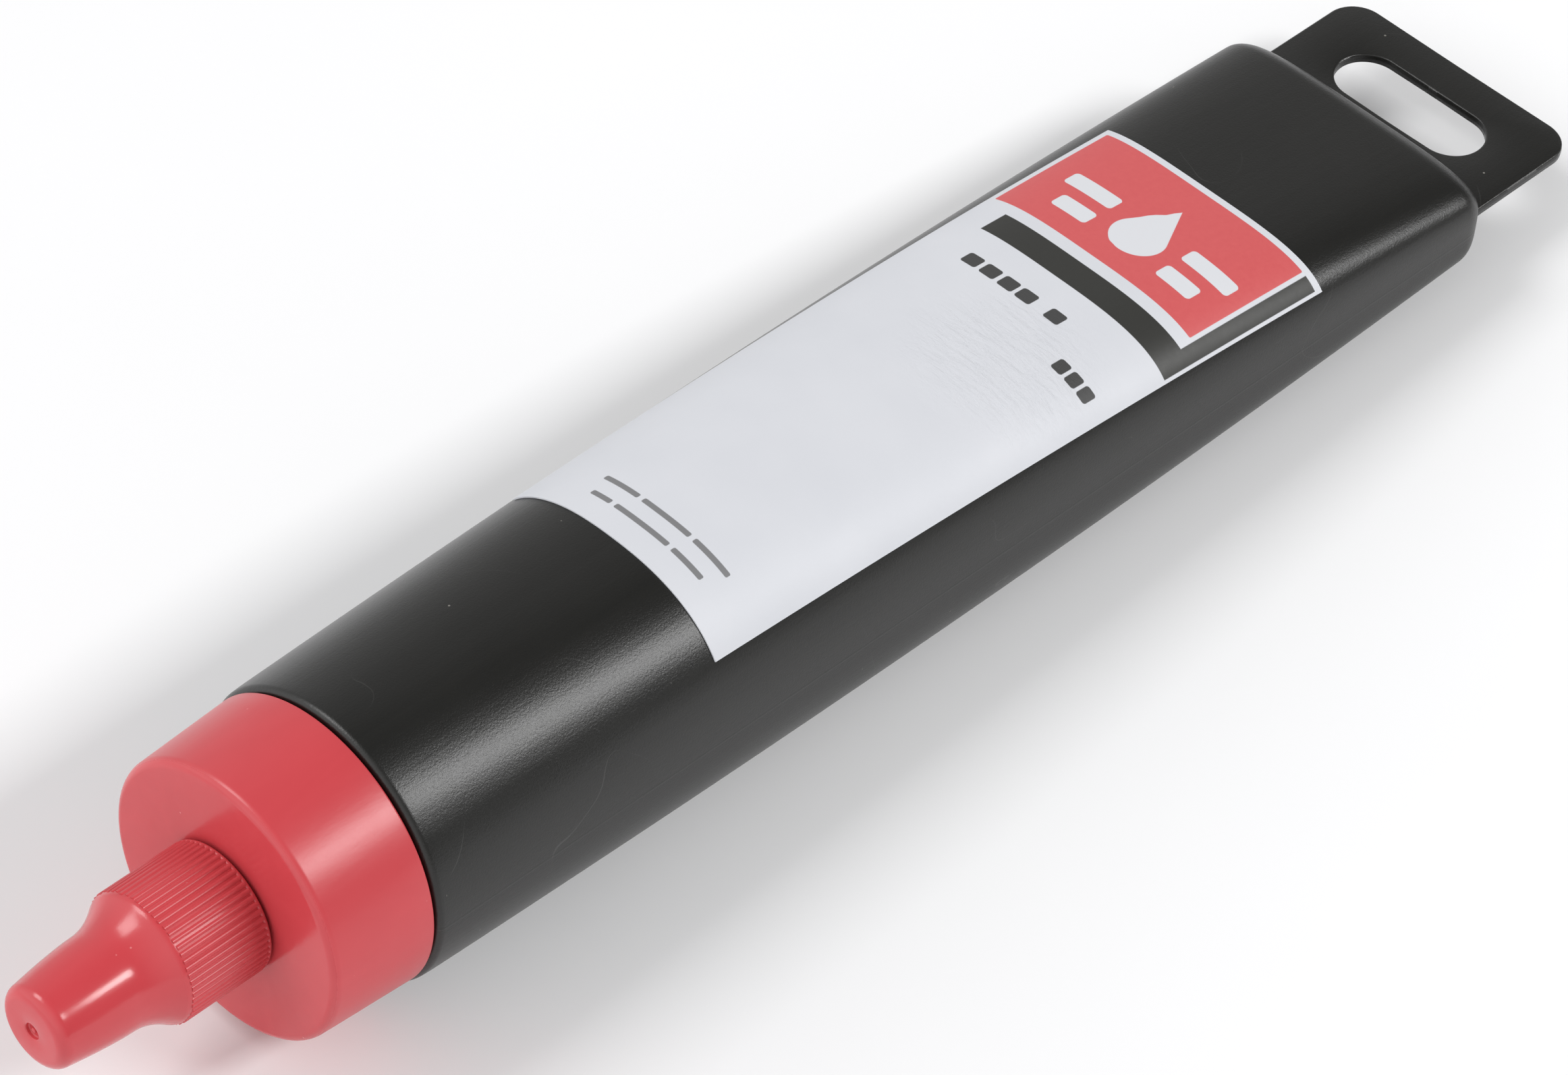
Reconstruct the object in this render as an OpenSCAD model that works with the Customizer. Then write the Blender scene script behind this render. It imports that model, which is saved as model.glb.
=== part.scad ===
// Squeeze bottle for gear grease: blow-moulded bottle with a hang tab, a screw
// closure with a tapered nozzle, and a ribbed screw cap over the nozzle.
// The bottle lies along X, with the nozzle towards -X and the hang tab towards +X.

/* [Bottle] */
// Length of the bottle from its front shoulder to the rounded end
body_len = 153.4; // [130:1:170]
// Diameter of the round front of the bottle
front_d = 32.6; // [32:0.2:34]
// Width of the bottle at the tail
tail_w = 35.8; // [34:0.2:42]
// Height of the bottle at the tail
tail_h = 11.6; // [9:0.2:15]
// Squareness of the tail section: 2 is an ellipse, larger is boxier
tail_square = 4.2; // [3:0.1:5]
// Wall thickness of the bottle
wall = 1.2; // [0.8:0.1:1.4]
// Rounding of the tail end
tail_round = 3.9; // [3:0.1:4.2]

/* [Hang tab] */
// Width of the hang tab
tab_w = 32; // [28:0.5:33]
// Length of the hang tab beyond the bottle
tab_len = 16.5; // [15:0.5:20]
// Thickness of the hang tab
tab_t = 1.2; // [1:0.1:1.6]
// Corner radius of the hang tab
tab_corner = 3.6; // [2:0.2:5]
// Length of the hanging slot, across the tab
slot_len = 19.3; // [16:0.5:22]
// Width of the hanging slot
slot_w = 7.7; // [6:0.1:8.2]

/* [Neck] */
// Outer diameter of the neck below its thread
neck_d = 25; // [24.6:0.1:25.2]
// Bore of the neck
mouth_d = 21.6; // [20:0.2:22]
// Pitch of the neck thread
neck_pitch = 4; // [3.8:0.1:4.4]

/* [Closure] */
// Diameter of the closure where it meets the bottle
closure_d = 32; // [31.8:0.1:32.4]
// Diameter of the closure at its front edge
closure_front_d = 30.9; // [30.6:0.1:31.6]
// Length of the closure
closure_len = 12.3; // [12.2:0.1:14]
// Rounding of the closure's front edge
closure_edge = 0.95; // [0.4:0.05:1.2]

/* [Nozzle and cap] */
// Height of the nozzle above the closure's face
nozzle_len = 20.6; // [20.2:0.1:20.7]
// Outer diameter of the nozzle below its thread
nozzle_d = 9.4; // [9.2:0.1:9.5]
// Diameter of the nozzle at its tip
nozzle_tip_d = 6; // [5.4:0.1:6.2]
// Diameter of the outlet
outlet_d = 3; // [2:0.1:3.2]
// Pitch of the nozzle thread
cap_pitch = 3; // [2.9:0.1:3.4]
// Length of the cap from its lip to its end face
cap_len = 23.9; // [23.9:0.1:26]
// Diameter over the ribs of the cap
cap_d = 14.7; // [14.6:0.1:15.4]
// Number of grip ribs around the cap
rib_count = 60; // [48:1:72]
// Depth of the grip ribs
rib_h = 0.28; // [0.2:0.01:0.3]
// Radius of the cap at its waist
waist_r = 5.3; // [5.3:0.05:5.6]

/* [Label] */
// Start of the label, from the front of the bottle
label_x0 = 38.2; // [30:0.2:50]
// Length of the label
label_len = 87.8; // [60:0.2:95]
// Width of the label, measured over the curved surface
label_w = 31.1; // [24:0.1:34]
// Distance of the label's middle at its front end from the crown, measured over the surface towards +Y
label_shift = -0.8; // [-1:0.05:1]
// Further distance of the label's middle at its rear end, as it is stuck on slightly askew
label_skew = -1; // [-2:0.05:2]
// Thickness of the label film
label_t = 0.14; // [0.1:0.01:0.2]

/* [Hidden] */
$fn = 64;

seam_gap = 0.3;
front_round = 0.8;
front_r = front_d / 2;
neck_r = neck_d / 2;
neck_len = 9.3;
neck_crest = neck_r + 1;
lip_gap = 0.35;
liner_z = 9.5;
liner_t = 1.1;
closure_top = closure_len - (liner_z + liner_t + 0.05);
closure_in_r = 13.9;
nozzle_r = nozzle_d / 2;
nozzle_crest = nozzle_r + 0.9;
cap_in_r = 6.05;
seal_z = nozzle_len + 0.15;
seal_t = 1;
seal_r = 3.3;
cap_skirt = 10.5;
skirt_r = cap_d / 2 - rib_h - 0.05;
waist_z = 15;
snout_end_z = cap_len - 1.3;
snout_end_r = waist_r - 0.72;
cap_edge = 1.3;
fill_x0 = 7;

n_around = 48;
n_along = 16;
n_end = 5;

axis_z = front_r;
seam_x = -((body_len + tab_len) - (closure_len + cap_len)) / 2;

// The frame of the bottle: X from the front shoulder to the tail, on its axis.
module on_bottle() {
    translate([seam_x, 0, axis_z]) children();
}

// The frame of the round parts: Z outwards through the nozzle.
module on_axis() {
    translate([seam_x, 0, axis_z]) rotate([0, -90, 0]) children();
}

// ---- the bottle's section: a circle that becomes a soft rectangle ----
function blend(s, k) = s + k * s * (1 - s);
function half_w(s) = front_r + (tail_w / 2 - front_r) * blend(s, 0.26);
function half_h(s) = front_r + (tail_h / 2 - front_r) * blend(s, -0.76);
function square_n(s) = 2 + (tail_square - 2) * blend(s, -0.37);
function soft(v, n) = sign(v) * pow(abs(v), 2 / n);
function section_point(a, b, n, t) = [a * soft(cos(t), n), b * soft(sin(t), n)];

// A ring of points at x, with the section drawn in by d on every side.
function ring(x, a, b, n, d) = [
    for (i = [0:n_around - 1])
        let (p = section_point(a - d, b - d, n, 360 * i / n_around))
        [x, p[0], p[1]]
];

// Stations along the bottle, from x0 to the tail, drawn in by d.
function stations(x0, d) = let (
        x1 = body_len - tail_round,
        end_r = tail_round - d
    ) concat(
        [for (j = [0:n_along])
            let (x = x0 + (x1 - x0) * j / n_along, s = x / body_len)
            ring(x, half_w(s), half_h(s), square_n(s), d)],
        [for (j = [1:n_end])
            let (
                t = 90 * j / n_end,
                s = (x1 + tail_round * sin(t)) / body_len,
                pull = d + end_r * (1 - cos(t))
            )
            ring(x1 + end_r * sin(t), half_w(s), half_h(s), square_n(s), pull)]
    );

module loft(rings) {
    m = len(rings);
    n = len(rings[0]);
    pts = [for (r = rings) for (p = r) p];
    sides = [
        for (j = [0:m - 2]) for (i = [0:n - 1])
            [(j + 1) * n + i, (j + 1) * n + (i + 1) % n, j * n + (i + 1) % n, j * n + i]
    ];
    first = [for (i = [0:n - 1]) i];
    last = [for (i = [n - 1:-1:0]) (m - 1) * n + i];
    polyhedron(points = pts, faces = concat(sides, [first], [last]), convexity = 4);
}

// ---- a screw thread: one strip of trapezoid section wound on a helix ----
// r_in and r_out are the strip's inner and outer radii; w_in and w_out its widths there.
// A nut's thread is the same strip turned by half a turn, so it lies midway between the turns.
module thread(r_in, r_out, w_in, w_out, pitch, turns, z0, grows_out) {
    steps = round(turns * 30);
    ramp = 4;
    function rise(k) = min(1, (k + 0.4) / ramp, (steps - k + 0.4) / ramp);
    pts = [
        for (k = [0:steps])
            let (
                t = 360 * turns * k / steps,
                z = z0 + pitch * turns * k / steps,
                q = rise(k),
                ri = grows_out ? r_in : r_out - (r_out - r_in) * q,
                ro = grows_out ? r_in + (r_out - r_in) * q : r_out,
                c = cos(t),
                s = sin(t)
            )
            each [
                [ri * c, ri * s, z - w_in / 2],
                [ro * c, ro * s, z - w_out / 2],
                [ro * c, ro * s, z + w_out / 2],
                [ri * c, ri * s, z + w_in / 2]
            ]
    ];
    sides = [
        for (k = [0:steps - 1]) for (i = [0:3])
            [k * 4 + i, k * 4 + (i + 1) % 4, (k + 1) * 4 + (i + 1) % 4, (k + 1) * 4 + i]
    ];
    start = [3, 2, 1, 0];
    end = [for (i = [0:3]) steps * 4 + i];
    polyhedron(points = pts, faces = concat(sides, [start], [end]), convexity = 8);
}

// ---- hang tab: a thin plate with round corners ----
module tab_plate() {
    x0 = body_len - 1;
    x1 = body_len + tab_len;
    y1 = tab_w / 2;
    translate([0, 0, -tab_t / 2]) {
        translate([x0, -y1, 0]) cube([x1 - x0 - tab_corner, tab_w, tab_t]);
        translate([x0, -(y1 - tab_corner), 0]) cube([x1 - x0, tab_w - 2 * tab_corner, tab_t]);
        for (side = [-1, 1])
            translate([x1 - tab_corner, side * (y1 - tab_corner), 0])
                cylinder(r = tab_corner, h = tab_t);
    }
}

module tab_slot() {
    r = slot_w / 2;
    straight = slot_len - slot_w;
    translate([body_len + 3.6 + r, 0, -3]) {
        translate([-r, -straight / 2, 0]) cube([slot_w, straight, 6]);
        for (side = [-1, 1])
            translate([0, side * straight / 2, 0]) cylinder(r = r, h = 6);
    }
}

// ---- neck and front shoulder, turned about the axis ----
module shoulder_and_neck() {
    e = front_round;
    z_top = -seam_gap;
    rotate_extrude()
        polygon(concat(
            [[mouth_d / 2, -2.2], [front_r, -2.2], [front_r, z_top - e]],
            [for (t = [15:15:75]) [front_r - e + e * cos(t), z_top - e + e * sin(t)]],
            [[front_r - e, z_top], [neck_r, z_top], [neck_r, neck_len - 0.5],
             [neck_r - 0.4, neck_len], [mouth_d / 2, neck_len]]
        ));
    thread(neck_r - 0.25, neck_crest, 2.7, 1.4, neck_pitch, 1.5, 1.9, true);
}

module bottle_body() {
    color([0.16, 0.16, 0.15])
    union() {
        on_bottle()
            difference() {
                union() {
                    loft(stations(1.6, 0));
                    tab_plate();
                }
                loft(stations(1.5, wall));
                tab_slot();
            }
        on_axis() shoulder_and_neck();
    }
}

// ---- label film over the top of the bottle ----
// Arc lengths over the section at s, from the crown down one side.
arc_steps = 60;
function arc_t(i) = 90 - 110 * i / arc_steps;
function arc_point(s, i) = section_point(half_w(s), half_h(s), square_n(s), arc_t(i));
function arc_table(s) = [
    for (i = 0, d = 0; i <= arc_steps;
         d = d + norm(arc_point(s, i + 1) - arc_point(s, i)), i = i + 1)
        [d, arc_t(i)]
];

function label_row(x, lift, cols) = let (
        s = x / body_len,
        table = arc_table(s)
    ) [
        for (j = [-cols:cols])
            let (
                d = label_shift + label_skew * (x - label_x0) / label_len + j / cols * label_w / 2,
                t = lookup(abs(d), table),
                p = section_point(half_w(s) + lift, half_h(s) + lift, square_n(s), t)
            )
            [x, (d < 0 ? -1 : 1) * p[0], p[1]]
    ];

module front_label() {
    cols = 12;
    rows = 9;
    w = 2 * cols + 1;
    rings = [
        for (k = [0:rows])
            let (x = label_x0 + label_len * k / rows)
            concat(
                label_row(x, 0.03 + label_t, cols),
                label_row(x, 0.03, cols)
            )
    ];
    order = concat([for (i = [0:w - 1]) i], [for (i = [w - 1:-1:0]) w + i]);
    color([0.86, 0.87, 0.90])
        on_bottle()
            loft([for (r = rings) [for (i = [len(order) - 1:-1:0]) r[order[i]]]]);
}

// ---- sealing membrane on the mouth ----
module foil_seal() {
    color([0.80, 0.80, 0.82])
        on_axis()
            translate([0, 0, neck_len])
                cylinder(r = neck_r - 0.45, h = 0.12);
}

// ---- contents ----
module grease_fill() {
    color([0.62, 0.45, 0.24])
        on_bottle()
            loft(stations(fill_x0, wall + 0.1));
}

// ---- liner between the mouth and the closure ----
module closure_liner() {
    color([0.88, 0.87, 0.83])
        on_axis()
            translate([0, 0, liner_z])
                difference() {
                    cylinder(r = closure_in_r - 0.5, h = liner_t);
                    translate([0, 0, -1]) cylinder(r = 4, h = liner_t + 2);
                }
}

// ---- closure with its nozzle ----
module closure() {
    r0 = closure_d / 2;
    r1 = closure_front_d / 2;
    e = closure_edge;
    z1 = closure_len;
    zin = closure_len - closure_top;
    tip = closure_len + nozzle_len;
    color([0.80, 0.16, 0.18])
        on_axis()
            difference() {
                union() {
                    rotate_extrude()
                        polygon(concat(
                            [[closure_in_r, 0], [r0, 0]],
                            [for (t = [0:15:90]) [r1 - e + e * cos(t), z1 - e + e * sin(t)]],
                            [[nozzle_r + 0.6, z1], [nozzle_r, z1 + 0.6], [nozzle_r, z1 + 10],
                             [nozzle_r - 0.45, z1 + 11.2],
                             [nozzle_tip_d / 2 + 0.3, tip - 1], [nozzle_tip_d / 2, tip],
                             [0, tip], [0, zin], [closure_in_r, zin]]
                        ));
                    rotate([0, 0, 180])
                        thread(12.95, closure_in_r + 0.25, 1.4, 2.7, neck_pitch, 1.5, 1.9, false);
                    translate([0, 0, z1])
                        thread(nozzle_r - 0.25, nozzle_crest, 1.9, 0.9, cap_pitch, 2.2, 2.3, true);
                }
                cylinder(d = outlet_d, h = tip + 1);
                translate([0, 0, zin - 0.01])
                    cylinder(r1 = 3.4, r2 = outlet_d / 2, h = 6);
            }
}

// ---- soft disc in the end of the cap ----
module cap_seal() {
    color([0.90, 0.89, 0.86])
        on_axis()
            translate([0, 0, closure_len + seal_z])
                cylinder(r = seal_r, h = seal_t);
}

// ---- cap over the nozzle ----
function shoulder_r(z) = waist_r + (skirt_r - waist_r) * pow(1 - (z - cap_skirt) / (waist_z - cap_skirt), 1.6);
function snout_r(z) = waist_r - (waist_r - snout_end_r) * pow((z - waist_z) / (snout_end_z - waist_z), 1.5);

module rib_outline() {
    r = cap_d / 2;
    step = 360 / rib_count;
    polygon([
        for (i = [0:rib_count - 1])
            each [
                for (q = [[0, r - rib_h], [0.34, r - rib_h], [0.5, r], [0.84, r]])
                    [q[1] * cos((i + q[0]) * step), q[1] * sin((i + q[0]) * step)]
            ]
    ]);
}

module cap_outside() {
    translate([0, 0, 1]) linear_extrude(height = 9.4) rib_outline();
    rotate_extrude()
        polygon(concat(
            [[0, lip_gap], [cap_d / 2, lip_gap], [cap_d / 2 + 0.12, lip_gap + 0.25],
             [cap_d / 2 + 0.08, 1.05], [skirt_r - 0.4, 1.05], [skirt_r - 0.4, 10],
             [skirt_r, 10], [skirt_r, cap_skirt]],
            [for (z = [cap_skirt + 0.4:0.4:waist_z - 0.1]) [shoulder_r(z), z]],
            [for (k = [0:5]) let (z = waist_z + (snout_end_z - waist_z) * k / 5) [snout_r(z), z]],
            [for (t = [18:18:90]) [snout_end_r - cap_edge + cap_edge * cos(t), snout_end_z + cap_edge * sin(t)]],
            [[0, cap_len]]
        ));
}

module cap_inside() {
    rotate_extrude()
        polygon([[0, lip_gap - 1], [cap_in_r, lip_gap - 1], [cap_in_r, 10], [4.95, 12.1], [4.3, 14.2],
                 [3.95, 17], [seal_r + 0.05, 19.6], [seal_r + 0.05, seal_z + seal_t + 0.05],
                 [0, seal_z + seal_t + 0.05]]);
}

module tip_cap() {
    color([0.80, 0.16, 0.18])
        on_axis()
            translate([0, 0, closure_len]) {
                difference() {
                    cap_outside();
                    cap_inside();
                    translate([0, 0, cap_len - 0.7]) cylinder(r = 1, h = 2);
                }
                rotate([0, 0, 180])
                    thread(5.1, cap_in_r + 0.25, 0.9, 1.9, cap_pitch, 2.2, 2.3, false);
                translate([0, 0, cap_len - 0.8]) cylinder(r = 0.28, h = 0.55);
            }
}

bottle_body();
front_label();
foil_seal();
grease_fill();
closure_liner();
closure();
cap_seal();
tip_cap();
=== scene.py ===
import math

import bmesh
import bpy
from mathutils import Matrix, Vector


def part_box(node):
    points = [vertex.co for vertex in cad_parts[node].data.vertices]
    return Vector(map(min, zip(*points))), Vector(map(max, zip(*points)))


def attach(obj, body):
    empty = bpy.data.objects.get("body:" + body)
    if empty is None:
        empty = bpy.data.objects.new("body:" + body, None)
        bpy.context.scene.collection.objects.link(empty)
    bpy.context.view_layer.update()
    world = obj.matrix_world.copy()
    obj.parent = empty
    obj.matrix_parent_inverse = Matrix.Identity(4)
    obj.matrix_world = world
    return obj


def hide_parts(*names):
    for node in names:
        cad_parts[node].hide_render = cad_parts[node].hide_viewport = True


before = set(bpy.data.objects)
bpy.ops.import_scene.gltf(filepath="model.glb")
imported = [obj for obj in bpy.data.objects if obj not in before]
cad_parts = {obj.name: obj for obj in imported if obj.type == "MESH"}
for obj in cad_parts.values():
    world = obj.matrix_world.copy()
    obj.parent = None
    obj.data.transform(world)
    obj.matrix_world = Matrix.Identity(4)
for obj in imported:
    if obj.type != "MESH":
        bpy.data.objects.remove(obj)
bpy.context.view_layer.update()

# ---------------------------------------------------------------------------
# Sizes in millimetres. x runs from the bottle's front shoulder towards the
# hang tab; "out" runs the other way, from the seam through the nozzle.
# ---------------------------------------------------------------------------
MM = 0.001
closure_low, closure_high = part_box("closure")
SEAM_X = closure_high.x
AXIS_Z = (closure_low.z + closure_high.z) / 2

BODY_LEN = 153.4
FRONT_R = 16.3
TAIL_W, TAIL_H, TAIL_SQUARE = 35.8, 11.6, 4.2
TAIL_ROUND = 3.9
WALL = 1.2
NECK_R, MOUTH_R, NECK_LEN = 12.5, 10.8, 9.3
TAB_W, TAB_LEN, TAB_T, TAB_CORNER = 32.0, 16.5, 1.2, 3.6
SLOT_LEN, SLOT_W, SLOT_GAP = 19.3, 7.7, 3.6
CLOSURE_R, CLOSURE_FRONT_R, CLOSURE_LEN, CLOSURE_EDGE = 16.0, 15.45, 12.3, 0.95
NOZZLE_R, NOZZLE_LEN, OUTLET_R = 4.7, 20.6, 1.5
CAP_LEN, RIB_COUNT = 23.9, 60
NECK_PITCH, NOZZLE_PITCH = 4.0, 3.0
NECK_TURNS, NOZZLE_TURNS = 1.5, 2.2
NECK_THREAD_FROM, NOZZLE_THREAD_FROM = 1.9, 2.3
LABEL_X0, LABEL_LEN, LABEL_W = 38.2, 87.8, 31.1
LABEL_SHIFT, LABEL_SKEW, PRINT_SHIFT = -0.8, -1.0, -0.45


def placed(x, y, z):
    """A point in the shared frame, in metres, from x, y and z in millimetres."""
    return Vector((SEAM_X + x * MM, y * MM, AXIS_Z + z * MM))


# ---------------------------------------------------------------------------
# Finishes: shader maths written as Python expressions
# ---------------------------------------------------------------------------
class Val:
    """A number or colour that changes over a surface."""

    def __init__(self, weave, socket):
        self.weave, self.socket = weave, socket

    def math(self, operation, *others):
        return self.weave.math(operation, self, *others)

    def __add__(self, other):
        return self.math("ADD", other)

    __radd__ = __add__

    def __sub__(self, other):
        return self.math("SUBTRACT", other)

    def __rsub__(self, other):
        return self.weave.math("SUBTRACT", other, self)

    def __mul__(self, other):
        return self.math("MULTIPLY", other)

    __rmul__ = __mul__

    def __pow__(self, other):
        return self.math("POWER", other)

    def __neg__(self):
        return self.math("MULTIPLY", -1.0)

    def __abs__(self):
        return self.math("ABSOLUTE")


class Weave:
    """Builds a node tree from expressions."""

    def __init__(self, tree):
        self.tree = tree

    def feed(self, socket, value):
        if isinstance(value, Val):
            self.tree.links.new(value.socket, socket)
        elif hasattr(value, "__len__") and socket.type == "RGBA" and len(value) == 3:
            socket.default_value = (*value, 1.0)
        else:
            socket.default_value = value

    def node(self, kind, settings=None, inputs=None, out=0):
        """Any node: its settings first, then its sockets' values or links."""
        made = self.tree.nodes.new(kind)
        for key, value in (settings or {}).items():
            setattr(made, key, value)
        for key, value in (inputs or {}).items():
            self.feed(made.inputs[key], value)
        return Val(self, made.outputs[out])

    def math(self, operation, *values):
        return self.node("ShaderNodeMath", {"operation": operation}, dict(enumerate(values)))

    def ease(self, value, low, high, to_low=0.0, to_high=1.0):
        """value mapped smoothly from low..high to to_low..to_high, held beyond."""
        return self.node("ShaderNodeMapRange", {"interpolation_type": "SMOOTHSTEP"}, {
            "Value": value, "From Min": low, "From Max": high, "To Min": to_low, "To Max": to_high})

    def parts(self, vector):
        """The x, y and z of a vector."""
        first = self.node("ShaderNodeSeparateXYZ", None, {0: vector})
        return [Val(self, first.socket.node.outputs[i]) for i in range(3)]


class Finish(Weave):
    """A procedural material, built node by node."""

    def __init__(self, name, **surface):
        self.material = bpy.data.materials.new(name)
        self.material.use_nodes = True
        super().__init__(self.material.node_tree)
        self.shader = next(n for n in self.tree.nodes if n.type == "BSDF_PRINCIPLED")
        self.surface(**surface)

    def object_mm(self, stretch=(1, 1, 1), turn=(0, 0, 0)):
        """Object coordinates in millimetres from the seam on the axis."""
        spot = self.node("ShaderNodeTexCoord", out=3)
        spot = self.node("ShaderNodeMapping", None, {
            "Vector": spot, "Scale": (1000, 1000, 1000),
            "Location": (-SEAM_X * 1000, 0, -AXIS_Z * 1000)})
        if stretch == (1, 1, 1) and turn == (0, 0, 0):
            return spot
        return self.node("ShaderNodeMapping", None, {
            "Vector": spot, "Scale": stretch, "Rotation": turn})

    def noise(self, spot, scale, detail=2.0, roughness=0.5, distortion=0.0):
        return self.node("ShaderNodeTexNoise", None, {
            "Vector": spot, "Scale": scale, "Detail": detail, "Roughness": roughness,
            "Distortion": distortion})

    def dots(self, spot, scale):
        """Distance to the nearest of a field of scattered points."""
        return self.node("ShaderNodeTexVoronoi", None, {"Vector": spot, "Scale": scale})

    def mix(self, factor, colour_a, colour_b):
        return self.node("ShaderNodeMix", {"data_type": "RGBA"},
                         {0: factor, 6: colour_a, 7: colour_b}, out=2)

    def bump(self, height, distance, strength=1.0, under=None):
        inputs = {"Height": height, "Distance": distance, "Strength": strength}
        if under is not None:
            inputs["Normal"] = under
        return self.node("ShaderNodeBump", None, inputs)

    def surface(self, **sockets):
        for socket, value in sockets.items():
            self.feed(self.shader.inputs[socket.replace("_", " ")], value)


def satin_black():
    """Blow-moulded polyethylene: fine grain, faint draw lines along the bottle, a little dust."""
    f = Finish("bottle_satin_black", Specular_IOR_Level=0.5)
    spot = f.object_mm()
    drawn = f.object_mm(stretch=(0.02, 0.9, 0.9))
    streaks = f.noise(drawn, 1.0, detail=4.0, roughness=0.62)
    clouds = f.noise(spot, 0.07, detail=3.0)
    grain = f.noise(spot, 4.2, detail=3.0, roughness=0.7)
    fine = f.noise(spot, 9.0, detail=1.0)
    speck_at = f.dots(spot, 0.32)
    speck_pick = f.noise(spot, 0.35, detail=0.0)
    specks = f.ease(speck_at, 0.03, 0.05, 1.0, 0.0) * f.ease(speck_pick, 0.56, 0.6)
    hair_field = f.noise(f.object_mm(turn=(0.4, 0.5, 0.3)), 0.06, detail=1.0, distortion=0.6)
    hairs = f.ease(abs(hair_field - 0.5), 0.0006, 0.0016, 1.0, 0.0) * f.ease(clouds, 0.5, 0.62)
    _, _, z = f.parts(spot)
    parting = f.ease(abs(z), 0.05, 0.22, 1.0, 0.0)
    base = f.mix(streaks, (0.0060, 0.0060, 0.0052), (0.0100, 0.0098, 0.0085))
    base = f.mix(clouds * 0.5, base, (0.014, 0.0136, 0.0122))
    base = f.mix(specks * 0.8, base, (0.22, 0.21, 0.19))
    base = f.mix(hairs * 0.25, base, (0.12, 0.12, 0.115))
    rough = 0.26 + clouds * 0.05 + streaks * 0.03 + grain * 0.05 + specks * 0.2 - parting * 0.02
    relief = f.bump(grain * 0.8 + fine * 0.2, 0.00007, 0.45)
    relief = f.bump(streaks, 0.00006, 0.3, relief)
    relief = f.bump(parting, 0.00004, 0.35, relief)
    f.surface(Base_Color=base, Roughness=rough, Normal=relief)
    return f


def glossy_red():
    """Injection-moulded polyethylene: glossy, duller on the closure's side and the cap's grip."""
    f = Finish("closure_glossy_red", Specular_IOR_Level=0.5)
    spot = f.object_mm()
    flow = f.noise(f.object_mm(stretch=(0.25, 1, 1)), 0.22, detail=3.0, distortion=0.8)
    ripple = f.noise(f.object_mm(stretch=(0.3, 1, 1)), 0.9, detail=3.0)
    grain = f.noise(spot, 5.0, detail=2.0, roughness=0.6)
    speck_at = f.dots(spot, 0.45)
    speck_pick = f.noise(spot, 0.4, detail=0.0)
    specks = f.ease(speck_at, 0.03, 0.055, 1.0, 0.0) * f.ease(speck_pick, 0.57, 0.62)
    base = f.mix(flow, (0.53, 0.050, 0.060), (0.59, 0.062, 0.073))
    base = f.mix(specks * 0.5, base, (0.75, 0.30, 0.30))
    x, _, _ = f.parts(spot)
    face = -CLOSURE_LEN
    side = f.ease(x, face, face + 0.8)
    grip = f.ease(x, face - 10.6, face - 10.0) * f.ease(x, face - 0.3, face - 0.1, 1.0, 0.0)
    rough = 0.14 + side * 0.15 + grip * 0.17 + flow * 0.06 + grain * 0.05 + specks * 0.2
    relief = f.bump(grain, 0.00001, 0.2)
    relief = f.bump(ripple, 0.00005, 0.25, relief)
    f.surface(Base_Color=base, Roughness=rough, Normal=relief)
    return f


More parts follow.
